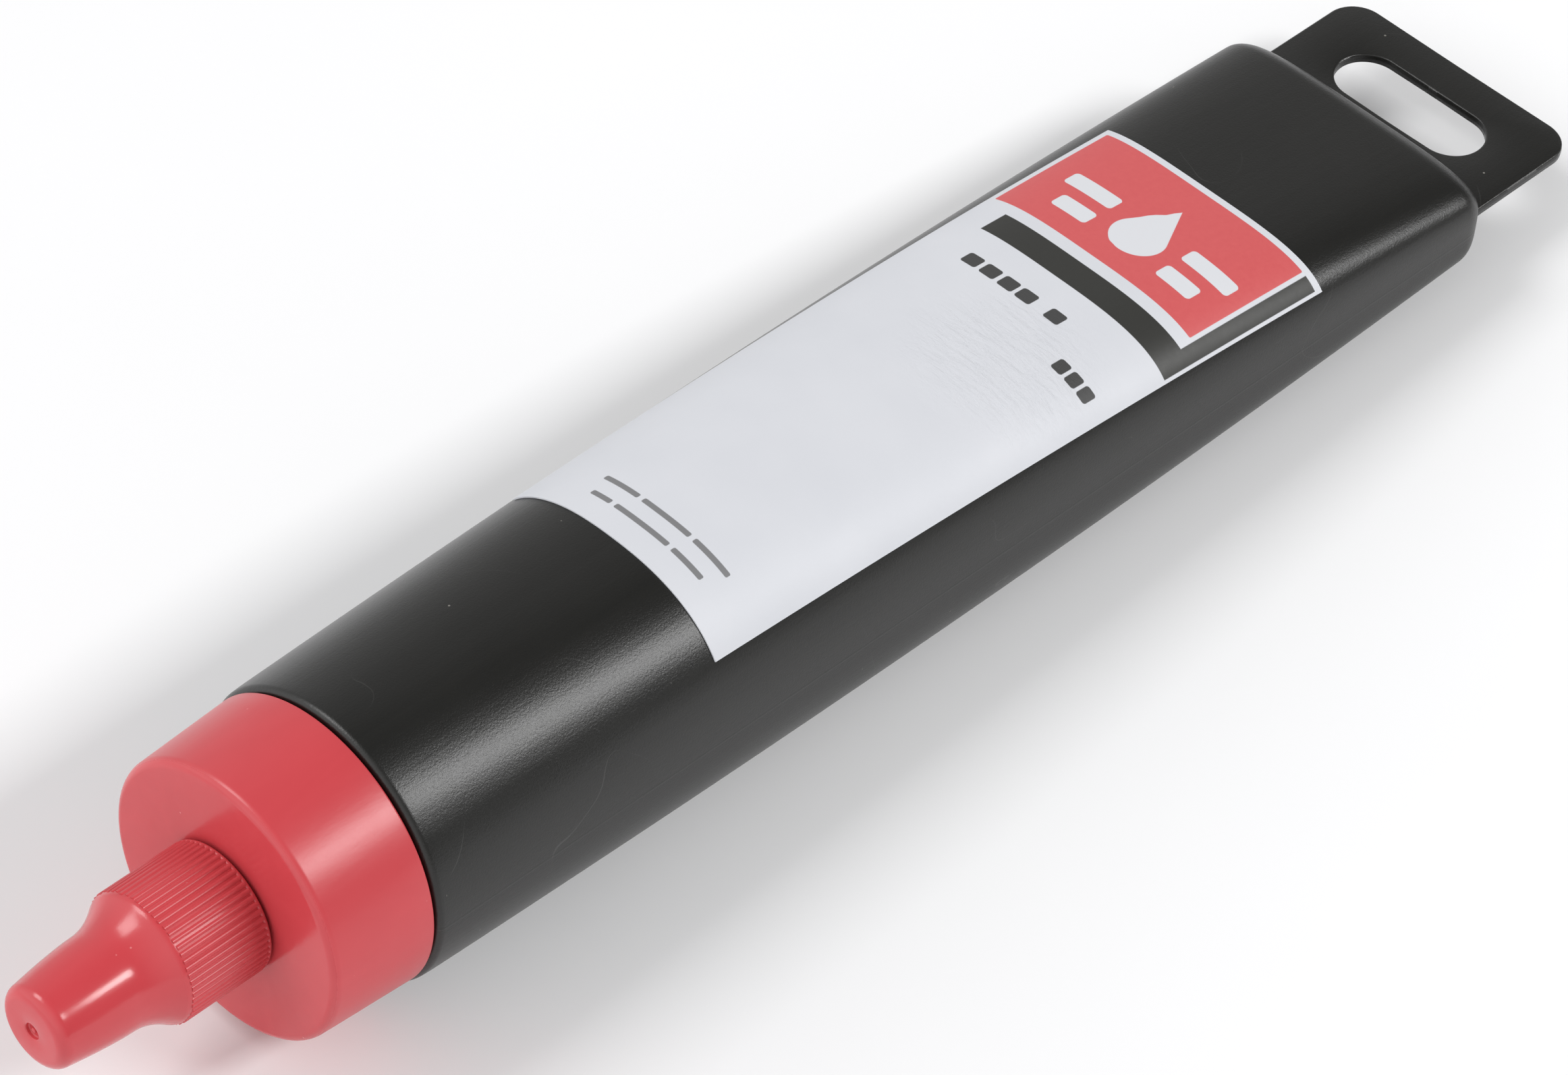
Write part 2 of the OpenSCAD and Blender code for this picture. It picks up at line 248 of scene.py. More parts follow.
def printed_film():
    """White label film with a plain printed layout: a red panel, a dark edge, a drop and bars.

    Places on the label are in millimetres, across from the crown and along from the front edge."""
    f = Finish("label_film", Specular_IOR_Level=0.5)
    u, v, _ = f.parts(f.node("ShaderNodeUVMap", {"uv_map": "print"}))
    across = (u - 0.5) * LABEL_W + PRINT_SHIFT
    along = v * LABEL_LEN
    soft = 0.05

    def inside(distance):
        return f.ease(distance, -soft, soft, 1.0, 0.0)

    def bar(a0, a1, b0, b1, corner=0.0):
        """1 inside the bar that runs from a0 to a1 across and from b0 to b1 along."""
        da = abs(across - (a0 + a1) / 2) - (abs(a1 - a0) / 2 - corner)
        db = abs(along - (b0 + b1) / 2) - (abs(b1 - b0) / 2 - corner)
        if corner == 0.0:
            return inside(da.math("MAXIMUM", db))
        outer = (da.math("MAXIMUM", 0.0) ** 2 + db.math("MAXIMUM", 0.0) ** 2).math("SQRT")
        return inside(outer + da.math("MAXIMUM", db).math("MINIMUM", 0.0) - corner)

    def drop(a, b, r):
        """1 inside an oil drop of radius r centred at a, b, its tip towards the tail."""
        da, db = abs(across - a), along - b
        ball = (da ** 2 + db ** 2).math("SQRT") - r
        cone = (da * 0.894 + db * 0.447) - r
        tip = cone.math("MAXIMUM", r * 0.447 - db)
        return inside(ball.math("MINIMUM", tip))

    def either(*masks):
        total = masks[0]
        for mask in masks[1:]:
            total = total.math("MAXIMUM", mask)
        return total

    spot = f.object_mm()
    weave = f.noise(spot, 1.6, detail=3.0, roughness=0.65)
    cloud = f.noise(spot, 0.12, detail=2.0)
    slanted = f.object_mm(stretch=(1.4, 0.35, 0.6), turn=(0, 0, 0.35))
    crease = f.noise(slanted, 1.1, detail=4.0, roughness=0.7, distortion=1.0)
    rub = ((across + 4.5) ** 2 + (along - 50.0) ** 2).math("SQRT")
    rubbed = f.ease(rub, 4.0, 14.0, 1.0, 0.0)

    white = f.mix(cloud, (0.60, 0.612, 0.65), (0.65, 0.66, 0.695))
    red = f.mix(weave, (0.57, 0.085, 0.09), (0.62, 0.11, 0.112))
    panel = bar(-13.2, 14.4, 69.4, 86.9, 0.2)
    edge = either(bar(-15.6, -13.7, 63.8, 86.9), bar(-15.6, 11.2, 63.8, 67.6))
    emblem = either(drop(0.0, 75.6, 3.1),
                    bar(4.9, 11.4, 76.6, 78.9, 0.5), bar(4.9, 9.6, 72.6, 74.9, 0.5),
                    bar(-11.4, -4.9, 76.6, 78.9, 0.5), bar(-9.6, -4.9, 72.6, 74.9, 0.5))
    dashes = either(*[bar(a, a - 2.0, 58.0, 59.9, 0.35) for a in (8.8, 6.3, 3.8, 1.3, -2.6)],
                    *[bar(a, a - 1.5, 53.2, 55.1, 0.35) for a in (-8.2, -10.1, -12.0)])
    small = either(
        *[bar(a, a - w, 5.8, 6.5, 0.2) for a, w in ((7.6, 4.6), (2.4, 6.4), (-4.6, 5.0))],
        *[bar(a, a - w, 3.2, 3.9, 0.2) for a, w in ((6.8, 2.6), (3.6, 7.2), (-4.2, 4.2))])
    colour = f.mix(edge, white, (0.028, 0.028, 0.025))
    colour = f.mix(panel, colour, red)
    colour = f.mix(emblem * panel, colour, (0.66, 0.67, 0.70))
    colour = f.mix(dashes, colour, (0.05, 0.05, 0.05))
    colour = f.mix(small, colour, (0.19, 0.19, 0.195))
    ink = either(edge, panel)
    rough = 0.52 - ink * 0.08 + weave * 0.08
    relief = f.bump(weave, 0.00003, 0.35)
    relief = f.bump(crease * rubbed, 0.0002, 0.8, relief)
    f.surface(Base_Color=colour, Roughness=rough, Normal=relief)
    return f


def bright_foil():
    """Aluminium sealing foil, embossed by the sealing head."""
    f = Finish("mouth_foil", Metallic=1.0)
    spot = f.object_mm()
    wrinkle = f.noise(spot, 0.8, detail=4.0, distortion=0.6)
    dimples = f.dots(spot, 1.3)
    base = f.mix(wrinkle, (0.70, 0.70, 0.72), (0.83, 0.83, 0.84))
    relief = f.bump(dimples * 0.5 + wrinkle, 0.00012, 0.5)
    f.surface(Base_Color=base, Roughness=0.26 + wrinkle * 0.14, Normal=relief)
    return f


def amber_grease():
    """Glossy amber gel, slightly streaked."""
    f = Finish("amber_grease", Specular_IOR_Level=0.5)
    spot = f.object_mm()
    swirl = f.noise(spot, 0.18, detail=4.0, distortion=1.4)
    base = f.mix(swirl, (0.30, 0.17, 0.055), (0.46, 0.29, 0.11))
    relief = f.bump(swirl, 0.0004, 0.6)
    f.surface(Base_Color=base, Roughness=0.2 + swirl * 0.12, Normal=relief)
    return f


def pale_foam():
    """Closed-cell polyethylene foam, off-white, with fine open cells on its cut faces; painted shade
    darkens each open cell.
    """
    f = Finish("liner_foam", Specular_IOR_Level=0.4)
    spot = f.object_mm()
    cells = f.dots(spot, 3.2)
    shade = f.noise(spot, 0.4, detail=3.0)
    base = f.mix(shade, (0.70, 0.69, 0.64), (0.80, 0.79, 0.75))
    # painted shade: the base colour darkens towards each cell's middle, standing in for shade inside
    # the open cells
    base = f.mix(f.ease(cells, 0.0, 0.35, 0.35, 0.0), base, (0.48, 0.47, 0.43))
    relief = f.bump(cells, 0.00012, 0.6)
    f.surface(Base_Color=base, Roughness=0.62 + cells * 0.2, Normal=relief)
    return f


def studio_floor():
    """Plain matt off-white board."""
    f = Finish("studio_board", Roughness=0.85)
    tone = f.noise(f.object_mm(), 0.02, detail=3.0)
    f.surface(Base_Color=f.mix(tone, (0.86, 0.86, 0.87), (0.88, 0.88, 0.885)))
    return f


BLACK = satin_black()
RED = glossy_red()
FILM = printed_film()
FOAM = pale_foam()


# ---------------------------------------------------------------------------
# Making pieces
# ---------------------------------------------------------------------------
def finished(mesh, name, finish, body, nodes, sharp=32.0):
    """Turns a closed mesh into a named piece that rides on a body."""
    bm = bmesh.new()
    bm.from_mesh(mesh)
    bmesh.ops.remove_doubles(bm, verts=bm.verts, dist=2e-6)
    bmesh.ops.recalc_face_normals(bm, faces=bm.faces)
    bm.to_mesh(mesh)
    bm.free()
    mesh.shade_smooth()
    mesh.set_sharp_from_angle(angle=math.radians(sharp))
    mesh.materials.clear()
    mesh.materials.append(finish.material)
    piece = bpy.data.objects.new(name, mesh)
    bpy.context.scene.collection.objects.link(piece)
    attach(piece, body)
    if nodes:
        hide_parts(*nodes)
    return piece


def mesh_of(name, shells):
    """One mesh from several (points in millimetres, faces) shells."""
    points, faces = [], []
    for shell_points, shell_faces in shells:
        start = len(points)
        points += [placed(*p) for p in shell_points]
        faces += [[start + i for i in face] for face in shell_faces]
    mesh = bpy.data.meshes.new(name)
    mesh.from_pydata(points, [], faces)
    return mesh


def skin(rings, closed_ends=(None, None), loop=False):
    """Quads between rings of equal length; closed_ends gives a middle point for each end."""
    n = len(rings[0])
    points = [p for ring in rings for p in ring]
    faces = []
    count = len(rings)
    for j in range(count if loop else count - 1):
        a, b = j * n, ((j + 1) % count) * n
        faces += [[a + i, a + (i + 1) % n, b + (i + 1) % n, b + i] for i in range(n)]
    for end, middle in zip((0, count - 1), closed_ends):
        if middle is not None:
            points.append(middle)
            faces += [[end * n + (i + 1) % n, end * n + i, len(points) - 1] for i in range(n)]
    return points, faces


def turned(profile, steps=192, loop=True):
    """A profile of (radius, out) points turned about the axis; an end on the axis is one point."""
    def ring(r, out):
        return [(-out, r * math.sin(2 * math.pi * i / steps), r * math.cos(2 * math.pi * i / steps))
                for i in range(steps)]
    if loop:
        return skin([ring(r, out) for r, out in profile], loop=True)
    ends = tuple((-profile[k][1], 0.0, 0.0) if profile[k][0] == 0 else None for k in (0, -1))
    inner = [p for p in profile if p[0] > 0]
    return skin([ring(r, out) for r, out in inner], ends)


def arc(r, out, radius, start, end, steps=7):
    """Profile points on a rounded edge, angles in degrees from the radial direction."""
    turn = [math.radians(start + (end - start) * k / (steps - 1)) for k in range(steps)]
    return [(r + radius * math.cos(t), out + radius * math.sin(t)) for t in turn]


# ---------------------------------------------------------------------------
# Geometry Nodes: grip ribs and screw threads, in the frame of the round parts
# ---------------------------------------------------------------------------
class Recipe:
    """A Geometry Nodes tree with named inputs."""

    def __init__(self, name, **numbers):
        self.tree = bpy.data.node_groups.new(name, "GeometryNodeTree")
        face = self.tree.interface
        face.new_socket("Result", in_out="OUTPUT", socket_type="NodeSocketGeometry")
        self.keys = {}
        for label, value in numbers.items():
            kind = "NodeSocketInt" if isinstance(value, int) else "NodeSocketFloat"
            self.keys[label] = face.new_socket(label, in_out="INPUT", socket_type=kind).identifier
        self.numbers = numbers
        self.given = self.tree.nodes.new("NodeGroupInput")
        self.result = self.tree.nodes.new("NodeGroupOutput")

    def get(self, label):
        return self.given.outputs[label]

    def node(self, kind, settings=None, inputs=None, out=0):
        made = self.tree.nodes.new(kind)
        for key, value in (settings or {}).items():
            setattr(made, key, value)
        for key, value in (inputs or {}).items():
            if isinstance(value, bpy.types.NodeSocket):
                self.tree.links.new(value, made.inputs[key])
            else:
                made.inputs[key].default_value = value
        return made.outputs[out]

    def math(self, operation, *values):
        return self.node("ShaderNodeMath", {"operation": operation}, dict(enumerate(values)))

    def grown(self, name, geometry, finish, place):
        """The tree's result as a plain mesh, put in place by the matrix place."""
        solid = self.node("GeometryNodeRealizeInstances", None, {0: geometry})
        solid = self.node("GeometryNodeSetMaterial", None,
                          {"Geometry": solid, "Material": finish.material})
        self.tree.links.new(solid, self.result.inputs[0])
        seed = bpy.data.objects.new(name + "_seed", bpy.data.meshes.new(name + "_seed"))
        bpy.context.scene.collection.objects.link(seed)
        modifier = seed.modifiers.new("grow", "NODES")
        modifier.node_group = self.tree
        for label, value in self.numbers.items():
            modifier[self.keys[label]] = value
        graph = bpy.context.evaluated_depsgraph_get()
        mesh = bpy.data.meshes.new_from_object(seed.evaluated_get(graph), depsgraph=graph)
        seed.modifiers.remove(modifier)
        bpy.data.objects.remove(seed)
        mesh.name = name
        mesh.transform(place)
        return mesh


def on_axis(out=0.0, turn=0.0):
    """Places a shape made with +Z along the axis, starting at out, turned by turn degrees."""
    return (Matrix.Translation(placed(-out, 0, 0)) @ Matrix.Rotation(math.radians(-90), 4, "Y")
            @ Matrix.Rotation(math.radians(turn), 4, "Z"))


def rib_ring(name, finish, count, radius, length, thick, fray, place):
    """Ribs side by side around the axis, each a rounded bar that fades out at both ends."""
    r = Recipe("grip_ribs", Count=count, Radius=radius * MM, Length=length * MM, Thickness=thick * MM,
               Fray=fray, Seed=7)
    circle = r.node("GeometryNodeMeshCircle", None,
                    {"Vertices": r.get("Count"), "Radius": r.get("Radius")})
    tip = r.node("ShaderNodeCombineXYZ", None, {"Z": r.get("Length")})
    line = r.node("GeometryNodeCurvePrimitiveLine", None, {"End": tip})
    line = r.node("GeometryNodeResampleCurve", None, {"Curve": line, "Count": 13})
    way = r.node("GeometryNodeSplineParameter")
    swell = r.math("POWER", r.math("SINE", r.math("MULTIPLY", way, math.pi)), 0.3)
    line = r.node("GeometryNodeSetCurveRadius", None,
                  {"Curve": line, "Radius": r.math("MAXIMUM", swell, 0.2)})
    ring = r.node("GeometryNodeCurvePrimitiveCircle", None,
                  {"Resolution": 10, "Radius": r.get("Thickness")})
    rib = r.node("GeometryNodeCurveToMesh", None,
                 {"Curve": line, "Profile Curve": ring, "Fill Caps": True})
    low = r.math("SUBTRACT", 1.0, r.get("Fray"))
    stretch = r.node("FunctionNodeRandomValue", {"data_type": "FLOAT"},
                     {2: low, 3: 1.0, "Seed": r.get("Seed")}, out=1)
    size = r.node("ShaderNodeCombineXYZ", None, {"X": 1.0, "Y": 1.0, "Z": stretch})
    ribs = r.node("GeometryNodeInstanceOnPoints", None,
                  {"Points": circle, "Instance": rib, "Scale": size})
    return r.grown(name, ribs, finish, place)


def thread_coil(name, finish, turns, pitch, radius, thick, place):
    """A screw thread: a rounded strip wound on a helix, with tapered ends."""
    r = Recipe("screw_thread", Turns=turns, Pitch=pitch * MM, Radius=radius * MM,
               Thickness=thick * MM)
    rise = r.math("MULTIPLY", r.get("Turns"), r.get("Pitch"))
    coil = r.node("GeometryNodeCurveSpiral", None, {
        "Resolution": 64, "Rotations": r.get("Turns"), "Start Radius": r.get("Radius"),
        "End Radius": r.get("Radius"), "Height": rise})
    way = r.node("GeometryNodeSplineParameter")
    run_in = r.math("MULTIPLY", r.math("MINIMUM", way, r.math("SUBTRACT", 1.0, way)), 14.0)
    taper = r.math("POWER", r.math("MINIMUM", r.math("MAXIMUM", run_in, 0.04), 1.0), 0.6)
    coil = r.node("GeometryNodeSetCurveRadius", None, {"Curve": coil, "Radius": taper})
    ring = r.node("GeometryNodeCurvePrimitiveCircle", None,
                  {"Resolution": 16, "Radius": r.get("Thickness")})
    tube = r.node("GeometryNodeCurveToMesh", None,
                  {"Curve": coil, "Profile Curve": ring, "Fill Caps": True})
    return r.grown(name, tube, finish, place)


# ---------------------------------------------------------------------------
# Bottle: a round front that becomes a soft, flat rectangle
# ---------------------------------------------------------------------------
def blend(s, k):
    """s from 0 at the front to 1 at the tail, hurried by k in the middle."""
    return s + k * s * (1 - s)


def half_w(s):
    return FRONT_R + (TAIL_W / 2 - FRONT_R) * blend(s, 0.26)


def half_h(s):
    return FRONT_R + (TAIL_H / 2 - FRONT_R) * blend(s, -0.76)


def square_n(s):
    return 2 + (TAIL_SQUARE - 2) * blend(s, -0.37)


def on_section(a, b, n, t):
    """The section's point at parameter t, in radians from the side."""
    c, s = math.cos(t), math.sin(t)
    return (math.copysign(a * abs(c) ** (2 / n), c), math.copysign(b * abs(s) ** (2 / n), s))


def section_ring(x, a, b, n, steps=192):
    return [(x, *on_section(a, b, n, 2 * math.pi * i / steps)) for i in range(steps)]


def bottle_shell():
    """The closed wall: up the inside, over the mouth and shoulder, and back along the outside."""
    rings = []
    length = BODY_LEN - TAIL_ROUND
    # inside, from the tail forwards
    s = (BODY_LEN - WALL) / BODY_LEN
    for f in (0.02, 0.4, 0.8):
        rings.append(section_ring(BODY_LEN - WALL,
                                  (half_w(s) - 4.2) * f, (half_h(s) - 4.2) * f, square_n(s)))
    for k in range(24, -1, -1):
        x = 1.6 + (BODY_LEN - 4.2 - 1.6) * k / 24
        s = x / BODY_LEN
        rings.append(section_ring(x, half_w(s) - WALL, half_h(s) - WALL, square_n(s)))
    # neck: bore, mouth rim, outside
    for r, out in [
            (MOUTH_R + 0.3, -1.6), (MOUTH_R, -1.2), (MOUTH_R, NECK_LEN - 0.3),
            (MOUTH_R + 0.1, NECK_LEN - 0.08), (MOUTH_R + 0.3, NECK_LEN),
            (NECK_R - 0.5, NECK_LEN), (NECK_R - 0.15, NECK_LEN - 0.15), (NECK_R, NECK_LEN - 0.5),
            (NECK_R, 0.4), (NECK_R + 0.12, 0.0), (NECK_R + 0.4, -0.22), (NECK_R + 0.8, -0.3)]:
        rings.append(section_ring(-out, r, r, 2))
    # shoulder and its rounded edge
    rings.append(section_ring(0.3, FRONT_R - 0.85, FRONT_R - 0.85, 2))
    for k in range(1, 8):
        t = math.radians(90 * k / 7)
        r = FRONT_R - 0.8 + 0.8 * math.sin(t)
        rings.append(section_ring(0.3 + 0.8 * (1 - math.cos(t)), r, r, 2))
    # outside, towards the tail
    steps = 110
    for k in range(steps + 1):
        x = 2.2 + (length - 2.2) * k / steps
        s = x / BODY_LEN
        rings.append(section_ring(x, half_w(s), half_h(s), square_n(s)))
    for k in range(1, 15):
        t = math.radians(90 * k / 14)
        x = length + TAIL_ROUND * math.sin(t)
        pull = TAIL_ROUND * (1 - math.cos(t))
        s = x / BODY_LEN
        rings.append(section_ring(x, half_w(s) - pull, half_h(s) - pull, square_n(s)))
    s = 1.0
    for f in (0.8, 0.5, 0.2, 0.02):
        rings.append(section_ring(BODY_LEN, (half_w(s) - TAIL_ROUND) * f,
                                  (half_h(s) - TAIL_ROUND) * f, square_n(s)))
    return skin(rings, ((BODY_LEN - WALL, 0, 0), (BODY_LEN, 0, 0)))


def hang_tab():
    """The flat tab: a plate between its outline and its slot, with softened edges."""
    middle = BODY_LEN + SLOT_GAP + SLOT_W / 2
    x0, x1, y1 = BODY_LEN - 0.9 - middle, BODY_LEN + TAB_LEN - middle, TAB_W / 2
    steps = 288

    def outline(angle):
        """Distance to the outline from the slot's middle."""
        dx, dy = math.cos(angle), math.sin(angle)
        reach = [((x1 if dx > 0 else x0) / dx) if dx else 1e9, (y1 / abs(dy)) if dy else 1e9]
        d = min(reach)
        cx, cy = x1 - TAB_CORNER, y1 - TAB_CORNER
        px, py = d * dx, abs(d * dy)
        if px > cx and py > cy:
            b = dx * cx + abs(dy) * cy
            d = b + math.sqrt(max(b * b - (cx * cx + cy * cy - TAB_CORNER ** 2), 0))
        return d

    def slot_edge(angle):
        dx, dy = abs(math.cos(angle)), abs(math.sin(angle))
        r, straight = SLOT_W / 2, (SLOT_LEN - SLOT_W) / 2
        d = r / dx if dx > 1e-9 else 1e9
        if d * dy > straight:
            b = dy * straight
            d = b + math.sqrt(b * b - (straight * straight - r * r))
        return d

    soft, half_t = 0.28, TAB_T / 2

    def edge_height(t):
        """Height of the softened edge at the angle t; its middle lies in the tab's plane."""
        return math.copysign(half_t - soft, t) + soft * math.sin(t) if t else 0.0

    bends = [math.radians(v) for v in (90, 60, 30, 0, -30, -60, -90)]
    rings = [(True, soft * math.cos(t) - soft, edge_height(t)) for t in bends]
    rings += [(False, soft - soft * math.cos(t), edge_height(t)) for t in reversed(bends)]
    made = []
    for outer, grow, z in rings:
        ring = []
        for i in range(steps):
            angle = 2 * math.pi * (i + 0.5) / steps
            d = (outline(angle) if outer else slot_edge(angle)) + grow
            ring.append((middle + d * math.cos(angle), d * math.sin(angle), z))
        made.append(ring)
    return skin(made, loop=True)


def root_fillet(side):
    """The rounded web where the tab meets the bottle's end."""
    top, span, steps = 1.0, 15.4, 40
    rings = []
    for j in range(steps + 1):
        y = -span + 2 * span * j / steps
        r = max(0.06, top * min(1.0, (1 - abs(y) / span) * 9) ** 0.5)
        z0 = TAB_T / 2 - 0.12
        ring = [(BODY_LEN - 0.35, y, side * z0), (BODY_LEN - 0.35, y, side * (TAB_T / 2 + r))]
        for k in range(9):
            t = math.radians(90 * k / 8)
            ring.append((BODY_LEN - 0.02 + r - r * math.cos(t), y,
                         side * (TAB_T / 2 + r - r * math.sin(t) - 0.01)))
        ring.append((BODY_LEN + r, y, side * z0))
        rings.append(ring)
    ends = tuple((BODY_LEN, y, side * (TAB_T / 2 - 0.05)) for y in (-span, span))
    return skin(rings, ends)


finished(mesh_of("bottle_shell", [bottle_shell(), hang_tab(), root_fillet(1), root_fillet(-1)]),
         "bottle_shell", BLACK, "bottle", ["bottle_body"], sharp=40)
finished(thread_coil("neck_thread", BLACK, NECK_TURNS, NECK_PITCH, NECK_R + 0.1, 0.9,
                     on_axis(NECK_THREAD_FROM)),
         "neck_thread", BLACK, "bottle", ["bottle_body"])


# ---------------------------------------------------------------------------
# Label film
# ---------------------------------------------------------------------------
def label_film():
    """A thin sheet that follows the bottle's sections, its width measured over the surface."""
    rows, cols = 96, 72
    film, gap = 0.14, 0.03
    walk_steps = 500
    slices = []
    for k in range(rows + 1):
        x = LABEL_X0 + LABEL_LEN * k / rows
        middle = LABEL_SHIFT + LABEL_SKEW * k / rows
        reach = [middle + LABEL_W * (j / cols - 0.5) for j in range(cols + 1)]
        s = x / BODY_LEN
        a, b, n = half_w(s), half_h(s), square_n(s)
        walk = [math.radians(90 - 115 * i / walk_steps) for i in range(walk_steps + 1)]
        path = [on_section(a, b, n, t) for t in walk]
        lengths = [0.0]
        for p, q in zip(path, path[1:]):
            lengths.append(lengths[-1] + math.hypot(q[0] - p[0], q[1] - p[1]))
        layer = []
        angles = []
        for want in reach:
            at = next(i for i, length in enumerate(lengths) if length >= abs(want)) or 1
            part = (abs(want) - lengths[at - 1]) / (lengths[at] - lengths[at - 1])
            angles.append(walk[at - 1] + (walk[at] - walk[at - 1]) * part)
        for lift in (gap + film, gap):
            row = []
            for want, angle in zip(reach, angles):
                y, z = on_section(a + lift, b + lift, n, angle)
                row.append((x, math.copysign(y, want), z))
            layer.append(row)
        slices.append(layer[0] + layer[1][::-1])
    points, faces = skin(slices)
    w = cols + 1
    n = 2 * w
    last = rows * n
    for start in (0, last):
        faces += [[start + j, start + j + 1, start + n - 2 - j, start + n - 1 - j]
                  for j in range(cols)]
    mesh = mesh_of("front_label_film", [(points, faces)])
    sheet = mesh.uv_layers.new(name="print")
    for loop in mesh.loops:
        ring, spot = divmod(loop.vertex_index, n)
        j = spot if spot < w else n - 1 - spot
        sheet.data[loop.index].uv = (j / cols, ring / rows)
    return mesh


finished(label_film(), "front_label_film", FILM, "bottle", ["front_label"], sharp=50)


# ---------------------------------------------------------------------------
# Closure with its nozzle
# ---------------------------------------------------------------------------
def closure_profile():
    """(radius, out) points round the closure's wall, from its open rim over the nozzle and back."""
    zin = 10.65
    tip = CLOSURE_LEN + NOZZLE_LEN
    e = CLOSURE_EDGE
    return (
        [(13.9, 0.3), (14.0, 0.08), (14.2, 0.0), (CLOSURE_R - 0.3, 0.0)]
        + arc(CLOSURE_R - 0.25, 0.25, 0.25, -60, 0, 4)
        + [(CLOSURE_R - 0.11, 2.5), (CLOSURE_R - 0.33, 7.0)]
        + arc(CLOSURE_FRONT_R - e, CLOSURE_LEN - e, e, 0, 90, 10)
        + [(11.0, CLOSURE_LEN), (8.2, CLOSURE_LEN), (6.4, CLOSURE_LEN),
           (NOZZLE_R + 0.6, CLOSURE_LEN)]
        + arc(NOZZLE_R + 0.6, CLOSURE_LEN + 0.6, 0.6, 270, 180, 6)[1:]
        + [(NOZZLE_R, CLOSURE_LEN + 5), (NOZZLE_R, CLOSURE_LEN + 9.8),
           (NOZZLE_R - 0.08, CLOSURE_LEN + 10.1), (NOZZLE_R - 0.38, CLOSURE_LEN + 11.0),
           (NOZZLE_R - 0.47, CLOSURE_LEN + 11.4)]
        + [(4.23 - 0.93 * k / 6, CLOSURE_LEN + 11.4 + 8.2 * k / 6) for k in range(1, 7)]
        + [(3.05, tip - 0.35), (2.95, tip - 0.12), (2.75, tip),
           (OUTLET_R + 0.15, tip), (OUTLET_R, tip - 0.15)]
        + [(OUTLET_R, 24.0), (OUTLET_R, 16.7), (OUTLET_R + 0.1, 16.3), (3.3, 10.9), (3.6, zin),
           (9.0, zin), (13.5, zin), (13.8, zin - 0.12), (13.9, zin - 0.4)]
    )


finished(mesh_of("closure_shell", [turned(closure_profile())]),
         "closure_shell", RED, "closure", ["closure"])
finished(thread_coil("closure_thread", RED, NECK_TURNS, NECK_PITCH, 13.9, 0.9,
                     on_axis(NECK_THREAD_FROM, 180)),
         "closure_thread", RED, "closure", ["closure"])
finished(thread_coil("nozzle_thread", RED, NOZZLE_TURNS, NOZZLE_PITCH, NOZZLE_R + 0.08, 0.72,
                     on_axis(CLOSURE_LEN + NOZZLE_THREAD_FROM)),
         "nozzle_thread", RED, "closure", ["closure"])


# ---------------------------------------------------------------------------
# Tip cap
# ---------------------------------------------------------------------------
def cap_profile():
    """The cap's (radius, out) points, outside and inside."""
    waist, snout_end = 15.3, CAP_LEN - 1.3
    skirt_r, waist_r, snout_r = 7.16, 5.3, 4.58
    bend = arc(skirt_r - 1.3, 10.15, 1.3, 0, 36, 7)
    bend_r, bend_z = bend[-1]

    def shoulder(z):
        return waist_r + (bend_r - waist_r) * (1 - (z - bend_z) / (waist - bend_z)) ** 2

    def snout(z):
        return waist_r - (waist_r - snout_r) * ((z - waist) / (snout_end - waist)) ** 1.5

    outside = [(6.3, 0.35), (6.95, 0.35)]
    outside += arc(6.97, 0.6, 0.25, -90, 60, 8)
    outside += [(skirt_r, 0.95), (skirt_r, 5.5), (skirt_r, 9.4), (skirt_r, 10.0)] + bend
    outside += [(shoulder(z), z)
                for z in [bend_z + (waist - bend_z) * k / 16 for k in range(1, 16)]]
    outside += [(snout(z), z) for z in [waist + (snout_end - waist) * k / 12 for k in range(13)]]
    outside += arc(snout_r - 1.3, snout_end, 1.3, 8, 90, 9)
    outside += [(2.4, CAP_LEN), (1.05, CAP_LEN), (0.97, CAP_LEN - 0.03), (0.9, CAP_LEN - 0.1),
                (0.85, CAP_LEN - 0.36), (0.74, CAP_LEN - 0.46), (0.4, CAP_LEN - 0.46)]
    # gate mark standing in the dimple
    outside += [(0.32, CAP_LEN - 0.43), (0.27, CAP_LEN - 0.25), (0.2, CAP_LEN - 0.19),
                (0.1, CAP_LEN - 0.16), (0.0, CAP_LEN - 0.15)]
    inside = [(0.0, 21.8), (2.0, 21.8), (3.2, 21.8), (3.35, 21.65), (3.35, 19.6), (3.95, 17.0),
              (4.3, 14.2), (4.95, 12.1), (5.9, 10.25), (6.05, 10.0), (6.05, 5.0), (6.05, 0.6),
              (6.15, 0.42)]
    return [[(r, out + CLOSURE_LEN) for r, out in side] for side in (outside, inside)]


cap_outside, cap_inside = cap_profile()
finished(mesh_of("cap_shell", [turned(cap_inside + cap_outside, loop=False)]),
         "cap_shell", RED, "cap", ["tip_cap"])
finished(rib_ring("cap_grip_ribs", RED, RIB_COUNT, 6.93, 9.7, 0.36, 0.02,
                  on_axis(CLOSURE_LEN + 0.7)),
         "cap_grip_ribs", RED, "cap", ["tip_cap"], sharp=60)
finished(thread_coil("cap_thread", RED, NOZZLE_TURNS, NOZZLE_PITCH, 6.05, 0.72,
                     on_axis(CLOSURE_LEN + NOZZLE_THREAD_FROM, 180)),
         "cap_thread", RED, "cap", ["tip_cap"])


# ---------------------------------------------------------------------------
# CAD pieces that keep their shape
# ---------------------------------------------------------------------------
for node, finish in (("foil_seal", bright_foil()), ("grease_fill", amber_grease()),
                     ("closure_liner", FOAM), ("cap_seal", FOAM)):
    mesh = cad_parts[node].data
    mesh.materials.clear()
    mesh.materials.append(finish.material)


